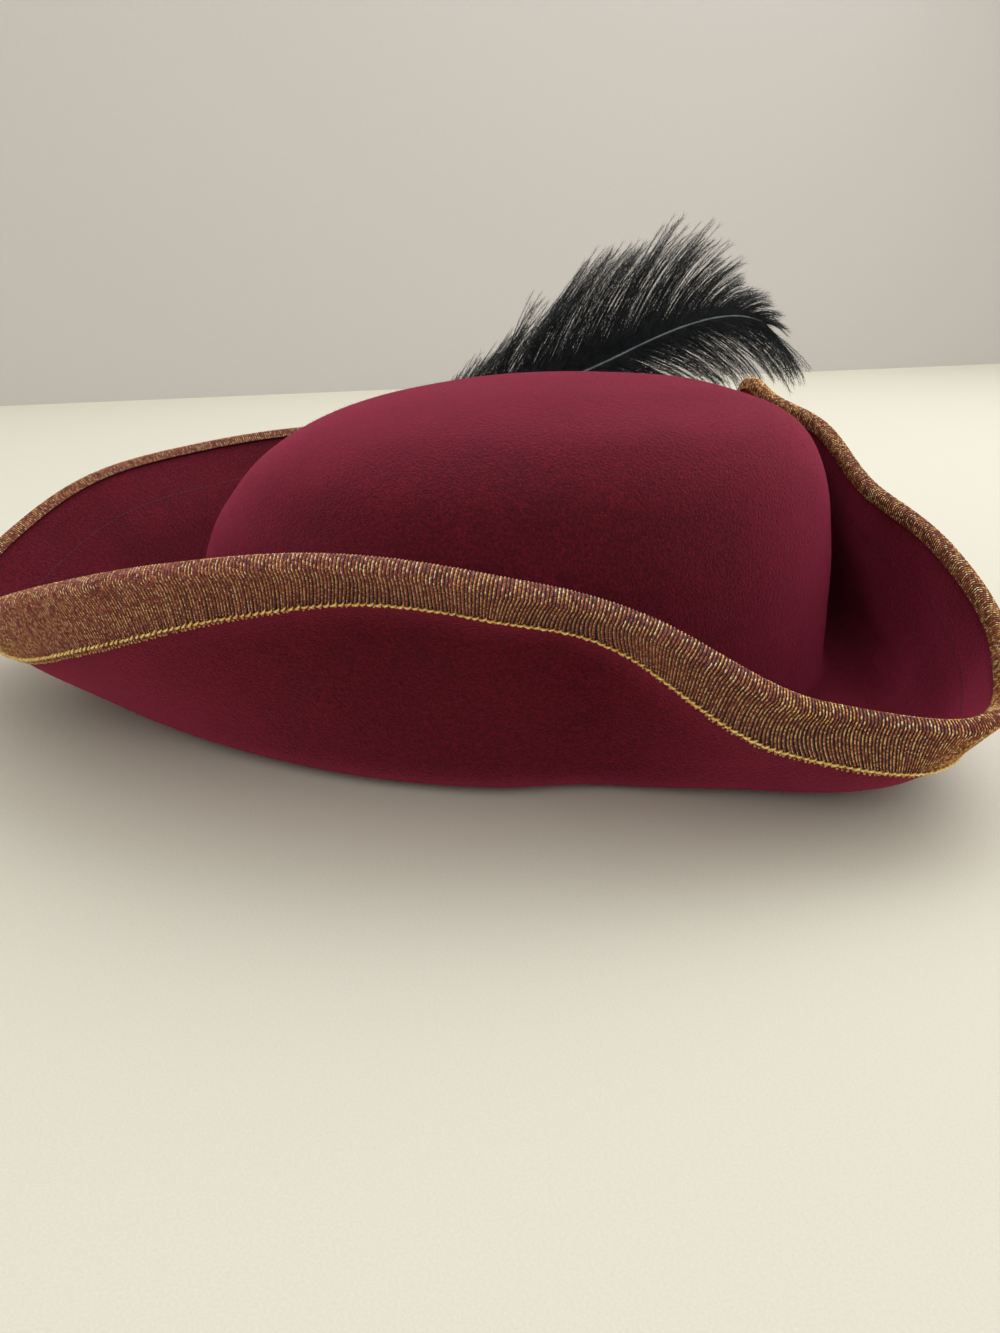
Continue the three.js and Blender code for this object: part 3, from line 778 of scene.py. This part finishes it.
def stitch_tree():
    """A stitch repeated at a pitch along a line, square to the face that it is sewn on."""
    tree, given, made = new_tree(
        "stitch_row", [("Stitch", "Object"), ("Pitch", "Float"), ("Wander", "Float"), ("Finish", "Material")]
    )
    line = add_node(tree, "GeometryNodeMeshToCurve", links={"Mesh": given.outputs["Geometry"]})
    spaced = add_node(tree, "GeometryNodeResampleCurve", links={"Curve": line.outputs[0],
                      "Length": given.outputs["Pitch"]}, mode="LENGTH")
    facing = add_node(tree, "FunctionNodeAxesToRotation", links={
        "Primary Axis": named(tree, "outward", "FLOAT_VECTOR"),
        "Secondary Axis": named(tree, "ahead", "FLOAT_VECTOR")}, primary_axis="Z", secondary_axis="X")
    wander = given.outputs["Wander"]
    turned = shaken(tree, facing.outputs[0], 2, X=wander, Y=wander, Z=wander)
    size = add_node(tree, "FunctionNodeRandomValue", {2: 0.88, 3: 1.12, "Seed": 6}, data_type="FLOAT")
    stitch = add_node(tree, "GeometryNodeObjectInfo", links={"Object": given.outputs["Stitch"]})
    row = add_node(tree, "GeometryNodeInstanceOnPoints", links={
        "Points": spaced.outputs[0], "Instance": stitch.outputs["Geometry"],
        "Rotation": turned, "Scale": size.outputs[1]})
    return end_tree(tree, given, made, row.outputs[0])


def cord_twist():
    """One turn of the gold cord as it shows in the line of stitching: a slanted, pointed dash."""
    path = np.array([(-0.95, -0.42, -0.25), (-0.6, -0.26, 0.2), (0, 0, 0.4), (0.6, 0.26, 0.2),
                     (0.95, 0.42, -0.25)])
    return small_shape("cord_twist", *tube(path, [0.08, 0.28, 0.36, 0.28, 0.08], 6))


def picot():
    """A small loop of yarn that stands out of the braid's selvedge, towards -Y."""
    turn = np.linspace(0, math.pi, 6)
    path = np.stack([0.24 * np.cos(turn), -0.7 * np.sin(turn), 0.3 * np.sin(turn)], -1)
    return small_shape("picot", *tube(path, [0.12, 0.15, 0.19, 0.19, 0.15, 0.12], 3))


def needle_mark():
    """The under thread of the sewing, a short sunk stitch."""
    path = [(-0.7, 0, -0.1), (-0.4, 0, 0.06), (0.4, 0, 0.06), (0.7, 0, -0.1)]
    return small_shape("needle_mark", *tube(path, [0.1, 0.16, 0.16, 0.1], 5))


ground = binding_ground()
finish_piece(ground, "knit_binding", "edge_binding", material=BRAID_GROUND_SHADE)
yarns = rib_tree()
for name, radius, sides, lift, beside, bare_end, finish in [
    ("binding_ribs", RIB_RADIUS, 5, 0.0, 0.0, 0.1, BRAID_BODY),
    ("binding_gold", GOLD_RADIUS, 4, 0.22, -0.14, 0.45, BRAID_GOLD_AND_GLINTS),
]:
    lines = rib_lines(name + "_lines", lift, beside, bare_end)
    ribs = apply_tree(lines, yarns, name, Yarn_radius=radius * MM, Sides=sides, Finish=finish)
    finish_piece(ribs, "knit_binding")

stitch_row = stitch_tree()
FACE = FELT / 2 + GAP + BINDING
for name, shape, back, offset, pitch, wander, finish, slot in [
    ("gold_cord", cord_twist(), BINDING_OUTSIDE - 1.7, -FACE - 0.12, 1.75, 0.2, GOLD_CORD_WITH_HIGHLIGHT, "knit_binding"),
    ("picot_loops", picot(), BINDING_OUTSIDE, -FACE + 0.4, 1.3, 0.45, GOLD_LOOP, "knit_binding"),
    ("needle_line", needle_mark(), BINDING_OUTSIDE - 2, FELT / 2, 1.9, 0.04, SEWING, "felt"),
]:
    line = edge_line(name + "_line", back, offset)
    row = apply_tree(line, stitch_row, name, Stitch=shape, Pitch=pitch * MM, Wander=wander, Finish=finish)
    bpy.data.objects.remove(shape)
    finish_piece(row, slot)


# Plume.
def plume_direction(share, slope):
    """Directions in the plume's upright plane at shares of its shaft."""
    heading = np.radians(smooth(PLUME_SECTIONS, share)[1])
    s, c = np.sin(np.radians(slope)), np.cos(np.radians(slope))
    return np.stack([-c * np.sin(heading), c * np.cos(heading), s], -1)


def plume_face(share):
    share = np.asarray(share, float)
    return np.cross(plume_direction(share, 0 * share), plume_direction(share, 90 + 0 * share))


def shaft_line():
    """The shaft's middle at even steps of its length."""
    share = np.linspace(0, 1, 201)
    middle = (share[1:] + share[:-1]) / 2
    steps = plume_direction(middle, smooth(PLUME_SECTIONS, middle)[0]) * PLUME_LENGTH / 200
    start = crown_middle(np.array(QUILL_ANGLE), np.array(0.0))
    start[2] = QUILL_HEIGHT
    start[0] = crown_side(start[1:2], start[2:3])[0] - GAP - SHAFT_RADIUS
    return share, start + np.vstack([np.zeros(3), np.cumsum(steps, axis=0)])


SHAFT_SHARE, SHAFT = shaft_line()  # shares of the length, and the points there


def shaft_middle(share):
    return np.stack([np.interp(share, SHAFT_SHARE, SHAFT[:, k]) for k in range(3)], -1)


def plume_shaft():
    share = np.linspace(0, 1, 61)
    radii = np.interp(share, [0, 0.1, 0.3, 0.6, 0.97, 1], [1.0, 0.95, 0.55, 0.36, 0.26, 0.1]) * SHAFT_RADIUS
    points, faces = tube(shaft_middle(share), radii, 12, first=(1, 0, 0))
    return mesh_object("plume_shaft", points, faces)


def barb_lines(name, count, over, seed):
    """The barbs on one side of the shaft. Neighbours cling together in small clumps, and their
    tips stray."""
    rng = np.random.default_rng(seed)
    steps = 16
    points, edges, share_along, facing = [], [], [], []
    first = (TAB_INSET + TAB_WIDTH + 3) / PLUME_LENGTH
    clump, clump_left, clump_turn, clump_lean = 0, 0, 0.0, 0.0
    for i in range(count):
        share = first + (1 - first) * (i + rng.uniform(-0.3, 0.3)) / (count - 1)
        share = min(max(share, first), 1.0)
        if clump_left == 0:
            clump_left = clump = int(rng.integers(4, 13))
            clump_turn, clump_lean = rng.normal(0, 2.2), rng.normal(0, 2.4)
            clump_reach = rng.uniform(0.84, 1.02)
        within = (clump_left - (clump + 1) / 2) / clump
        clump_left -= 1
        slope, _, up_share, up_slope, low_share, low_slope, curl = smooth(PLUME_SECTIONS, share)
        length = BARB_LENGTH * (up_share if over else low_share) * clump_reach * rng.uniform(0.84, 1.0)
        start_slope = (up_slope if over else low_slope) + clump_turn + 7 * within * (1 if over else -1)
        bend = (curl if over else 16) * rng.uniform(0.6, 1.4) + 13 * within
        lean = clump_lean + rng.normal(0, 0.8)
        face = plume_face(share)
        t = np.linspace(0, 1, steps + 1)
        slopes = start_slope + 8 - bend * t**1.3 - (rng.uniform(0, 14) * t**4)
        moves = plume_direction(np.full(steps, share), (slopes[1:] + slopes[:-1]) / 2) * length / steps
        line = shaft_middle(share) + np.vstack([np.zeros(3), np.cumsum(moves, axis=0)])
        line += face * (lean * t**1.5)[:, None]
        base = len(points)
        points.extend(line)
        edges.extend((base + k, base + k + 1) for k in range(steps))
        share_along.extend(t)
        facing.extend([face] * (steps + 1))
    return mesh_object(name, points, edges=edges, grown=share_along, facing=facing)


def barb_tree():
    """A tapered barb along each line, with barbules in pairs up it that shorten to the tip."""
    tree, given, made = new_tree("ostrich_barbs", [
        ("Barbule pair", "Object"), ("Barb radius", "Float"), ("Pitch", "Float"), ("Twist", "Float"),
        ("Finish", "Material")])
    lines = add_node(tree, "GeometryNodeMeshToCurve", links={"Mesh": given.outputs["Geometry"]})
    grown = named(tree, "grown")
    taper = add_node(tree, "ShaderNodeMapRange", {"To Min": 1.0, "To Max": 0.25}, {"Value": grown})
    profile = add_node(tree, "GeometryNodeCurvePrimitiveCircle", {"Resolution": 3},
                       {"Radius": given.outputs["Barb radius"]}, mode="RADIUS")
    barb = add_node(tree, "GeometryNodeCurveToMesh", {"Fill Caps": True}, {
        "Curve": lines.outputs[0], "Profile Curve": profile.outputs["Curve"], "Scale": taper.outputs[0]})
    spaced = add_node(tree, "GeometryNodeResampleCurve", links={"Curve": lines.outputs[0],
                      "Length": given.outputs["Pitch"]}, mode="LENGTH")
    tangent = add_node(tree, "GeometryNodeInputTangent")
    standing = add_node(tree, "FunctionNodeAxesToRotation", links={
        "Primary Axis": tangent.outputs[0], "Secondary Axis": named(tree, "facing", "FLOAT_VECTOR")},
        primary_axis="X", secondary_axis="Z")
    turned = shaken(tree, standing.outputs[0], 9, X=given.outputs["Twist"], Y=(-0.12, 0.12), Z=(-0.12, 0.12))
    vary = add_node(tree, "FunctionNodeRandomValue", {2: 0.7, 3: 1.25, "Seed": 4}, data_type="FLOAT")
    shorten = add_node(tree, "ShaderNodeMapRange", {"To Min": 1.0, "To Max": 0.7}, {"Value": grown})
    size = add_node(tree, "ShaderNodeMath", links={0: vary.outputs[1], 1: shorten.outputs[0]},
                    operation="MULTIPLY")
    pair = add_node(tree, "GeometryNodeObjectInfo", links={"Object": given.outputs["Barbule pair"]})
    down = add_node(tree, "GeometryNodeInstanceOnPoints", links={
        "Points": spaced.outputs[0], "Instance": pair.outputs["Geometry"], "Rotation": turned,
        "Scale": size.outputs[0]})
    both = add_node(tree, "GeometryNodeJoinGeometry")
    tree.links.new(down.outputs[0], both.inputs[0])
    tree.links.new(barb.outputs[0], both.inputs[0])
    return end_tree(tree, given, made, both.outputs[0])


def barbule_pair(length, half_width, spread):
    """Two barbules that leave the barb on either side, pointing up it."""
    points, faces = [], []
    for side in (1, -1):
        ahead = np.array([math.cos(spread), side * math.sin(spread), 0])
        across = np.array([-ahead[1], ahead[0], 0])
        upward = np.array([0, 0, 1.0])
        base = len(points)
        for a in (0, 2.094, 4.189):
            points.append(half_width * (math.cos(a) * across + math.sin(a) * upward))
        points.append(length * ahead + [0, 0, 0.3])
        faces += [(base + a, base + b, base + c) for a, b, c in ((2, 1, 0), (0, 1, 3), (1, 2, 3), (2, 0, 3))]
    return small_shape("barbule_pair", points, faces)


BARB_RADIUS = 0.27
BARBULE_PITCH = 1.4
BARBULE_LENGTH = 3.5
BARBULE_RADIUS = 0.1
BARBULE_SPREAD = 0.42
BARBULE_TWIST = 1.2

shaft = plume_shaft()
finish_piece(shaft, "plume", "ostrich_plume", material=QUILL)
pair = barbule_pair(BARBULE_LENGTH, BARBULE_RADIUS, BARBULE_SPREAD)
barbs = barb_tree()
for name, count, over, seed in [("plume_barbs_over", 540, True, 21), ("plume_barbs_under", 430, False, 34)]:
    made = apply_tree(barb_lines(name + "_lines", count, over, seed), barbs, name, Barbule_pair=pair,
                      Barb_radius=BARB_RADIUS * MM, Pitch=BARBULE_PITCH * MM, Twist=BARBULE_TWIST,
                      Finish=BARB)
    finish_piece(made, "plume", "ostrich_plume", smooth_shaded=False)
bpy.data.objects.remove(pair)


# Felt tab on the quill.
def quill_tab():
    """A felt tab with rounded edges, humped over the quill."""
    slope = smooth(PLUME_SECTIONS, 0.0)[0]
    reach, flank = TAB_LENGTH / 2, SHAFT_RADIUS + GAP
    side = np.concatenate([np.linspace(-reach, -flank - 4, 7), np.linspace(-flank - 3, flank + 3, 15),
                           np.linspace(flank + 4, reach, 7)])
    along = np.linspace(TAB_INSET, TAB_INSET + TAB_WIDTH, 9)
    across = plume_direction(np.array(0.0), slope + 90)
    grid = shaft_middle(along / PLUME_LENGTH)[None] + side[:, None, None] * across
    over_quill = np.broadcast_to(shaft_middle(along / PLUME_LENGTH)[None, :, 0], grid.shape[:2])
    over_quill = over_quill - SHAFT_RADIUS - GAP
    over_wall = crown_side(grid[..., 1], grid[..., 2]) - GAP
    hump = np.clip(1 - (np.abs(side) - flank) / 4, 0, 1)[:, None]
    hump = hump * hump * (3 - 2 * hump)
    base = over_wall + (over_quill - over_wall) * hump
    base = np.where(hump > 0.999, over_quill, np.minimum(base, over_wall))
    near, far = grid.copy(), grid.copy()
    near[..., 0] = base
    far[..., 0] = base - TAB_THICKNESS
    rings = np.concatenate([near, far[:, ::-1]], axis=1)
    ends = np.array([rings[0].mean(0), rings[-1].mean(0)])
    n, m = rings.shape[:2]
    faces = grid_faces(n, m)
    for k in range(m):
        j = (k + 1) % m
        faces.append((n * m, j, k))
        faces.append((n * m + 1, (n - 1) * m + k, (n - 1) * m + j))
    return mesh_object("quill_tab_felt", np.vstack([rings.reshape(-1, 3), ends]), faces)


tab = quill_tab()
finish_piece(tab, "tab_felt", "quill_tab", material=FELT_DYED)

# Floor, backdrop, light and camera.
FLOOR_PAINT = thread_material("matt_paint_cream", "#dad5c3", "#dfdac8", 0.0, 0.85)
WALL_PAINT = thread_material("matt_paint_grey", "#c6c0b9", "#cbc6c0", 0.0, 0.9)


def stage_plane(name, corners, material):
    mesh = bpy.data.meshes.new(name)
    mesh.from_pydata(corners, [], [(0, 1, 2, 3)])
    made = add_object(name, mesh)
    made.data.materials.append(material)


def area_light(name, place, aim, size, power, hex_value):
    data = bpy.data.lights.new(name, "AREA")
    data.shape = "RECTANGLE"
    data.size, data.size_y = size
    data.energy = power
    data.color = colour(hex_value)[:3]
    light = add_object(name, data)
    light.location = place
    light.rotation_euler = (Vector(aim) - Vector(place)).to_track_quat("-Z", "Y").to_euler()


stage_plane("floor", [(-3, -4, 0), (4, -4, 0), (4, 4, 0), (-3, 4, 0)], FLOOR_PAINT)
stage_plane("backdrop", [(0.104, -4.33, 0), (-1.65, 3.67, 0), (-1.65, 3.67, 0.6), (0.104, -4.33, 0.6)],
            WALL_PAINT)
area_light("window", (-0.35, 0.5, 1.0), (-0.05, 0, 0), (1.0, 1.2), 6.0, "#f8faff")


def room_light(towards, bright, dim):
    """A room lit from one broad side: bright towards a direction and dim the other way."""
    world = bpy.data.worlds.new("room_air")
    world.use_nodes = True
    tree = world.node_tree
    place = add_node(tree, "ShaderNodeTexCoord").outputs["Generated"]
    facing = add_node(tree, "ShaderNodeVectorMath", {1: Vector(towards).normalized()}, {0: place},
                      operation="DOT_PRODUCT")
    level = add_node(tree, "ShaderNodeMapRange", {"From Min": 0.2, "To Min": dim, "To Max": bright},
                     {"Value": facing.outputs["Value"]}, interpolation_type="SMOOTHSTEP")
    background = tree.nodes["Background"]
    background.inputs["Color"].default_value = colour("#dedede")
    tree.links.new(level.outputs["Result"], background.inputs["Strength"])
    return world


world = room_light((0.2, 0.3, 0.93), 1.5, 0.98)
bpy.context.scene.world = world
bpy.context.scene.view_settings.view_transform = "Standard"

# The photograph's own view: a phone camera close to the hat, behind square to the wearer's left.
FOCAL_PIXELS = 1080.0
CAMERA_PLACE = Vector((0.3450, -0.0550, 0.1293))
HEADING = math.radians(78.9)
PITCH = math.radians(20.5)
ROLL = math.radians(-0.2)


def photo_camera():
    flat = math.cos(PITCH)
    forward = Vector((-math.sin(HEADING) * flat, math.cos(HEADING) * flat, -math.sin(PITCH)))
    level = Vector((math.cos(HEADING), math.sin(HEADING), 0))
    upright = level.cross(forward)
    right = level * math.cos(ROLL) - upright * math.sin(ROLL)
    up = level * math.sin(ROLL) + upright * math.cos(ROLL)
    data = bpy.data.cameras.new("photo_camera")
    data.sensor_width = 36
    data.lens = FOCAL_PIXELS / 1333 * 36
    data.clip_start = 0.01
    camera = add_object("photo_camera", data)
    turned = Matrix((right, up, -forward)).transposed().to_4x4()
    camera.matrix_world = Matrix.Translation(CAMERA_PLACE) @ turned
    bpy.context.scene.camera = camera


photo_camera()
